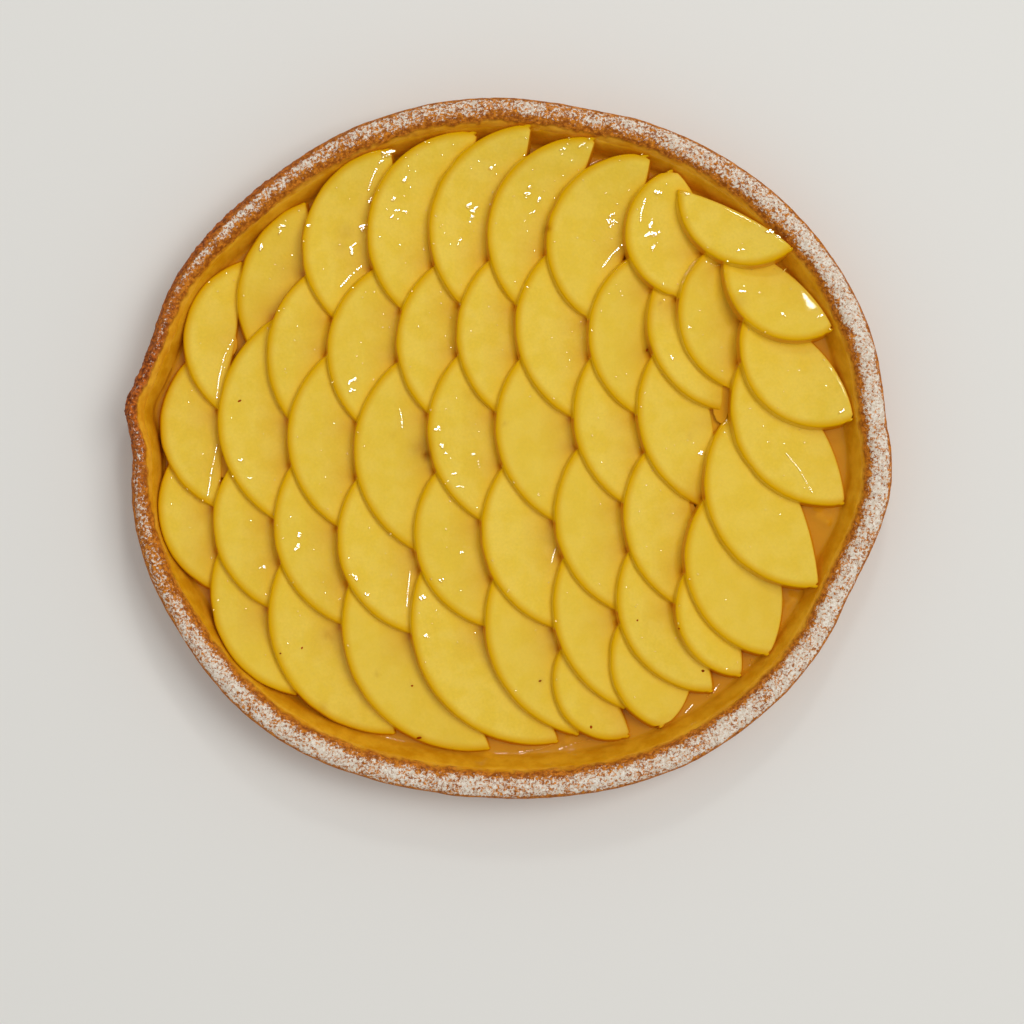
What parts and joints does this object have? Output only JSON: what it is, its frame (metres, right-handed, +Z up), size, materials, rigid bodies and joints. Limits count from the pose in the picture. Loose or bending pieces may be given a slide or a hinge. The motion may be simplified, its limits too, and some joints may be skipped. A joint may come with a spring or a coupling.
{
  "type": "apple tart",
  "caption": "Oval shortcrust tart shell filled with set golden glaze and overlapping half-moon slices of peeled fruit, its rim dusted with icing sugar.",
  "frame": {"origin": "under the middle of the shell, on the surface that it stands on", "axes": "+Z up out of the filling, +X along the longest way across the oval towards the end where the last slices fan out, +Y across it"},
  "size_m": [0.272, 0.2488, 0.0263],
  "materials": {
    "baked_crust": "dry baked shortcrust, golden brown, with icing sugar along the rim",
    "golden_glaze": "clear set glaze, amber, wet gloss",
    "apple_flesh": "cooked yellow fruit flesh under a thin glossy glaze"
  },
  "bodies": {
    "root": {"crust": "baked_crust", "glaze_bed": "golden_glaze", "apple_slice_01": "apple_flesh", "apple_slice_02": "apple_flesh", "apple_slice_03": "apple_flesh", "apple_slice_04": "apple_flesh", "apple_slice_05": "apple_flesh", "apple_slice_06": "apple_flesh", "apple_slice_07": "apple_flesh", "apple_slice_08": "apple_flesh", "apple_slice_09": "apple_flesh", "apple_slice_10": "apple_flesh", "apple_slice_11": "apple_flesh", "apple_slice_12": "apple_flesh", "apple_slice_13": "apple_flesh", "apple_slice_14": "apple_flesh", "apple_slice_15": "apple_flesh", "apple_slice_16": "apple_flesh", "apple_slice_17": "apple_flesh", "apple_slice_18": "apple_flesh", "apple_slice_19": "apple_flesh", "apple_slice_20": "apple_flesh", "apple_slice_21": "apple_flesh", "apple_slice_22": "apple_flesh", "apple_slice_23": "apple_flesh", "apple_slice_24": "apple_flesh", "apple_slice_25": "apple_flesh", "apple_slice_26": "apple_flesh", "apple_slice_27": "apple_flesh", "apple_slice_28": "apple_flesh", "apple_slice_29": "apple_flesh", "apple_slice_30": "apple_flesh", "apple_slice_31": "apple_flesh", "apple_slice_32": "apple_flesh", "apple_slice_33": "apple_flesh", "apple_slice_34": "apple_flesh", "apple_slice_35": "apple_flesh", "apple_slice_36": "apple_flesh", "apple_slice_37": "apple_flesh", "apple_slice_38": "apple_flesh", "apple_slice_39": "apple_flesh", "apple_slice_40": "apple_flesh", "apple_slice_41": "apple_flesh", "apple_slice_42": "apple_flesh", "apple_slice_43": "apple_flesh", "apple_slice_44": "apple_flesh", "apple_slice_45": "apple_flesh", "apple_slice_46": "apple_flesh", "apple_slice_47": "apple_flesh", "apple_slice_48": "apple_flesh"}
  },
  "joints": []
}
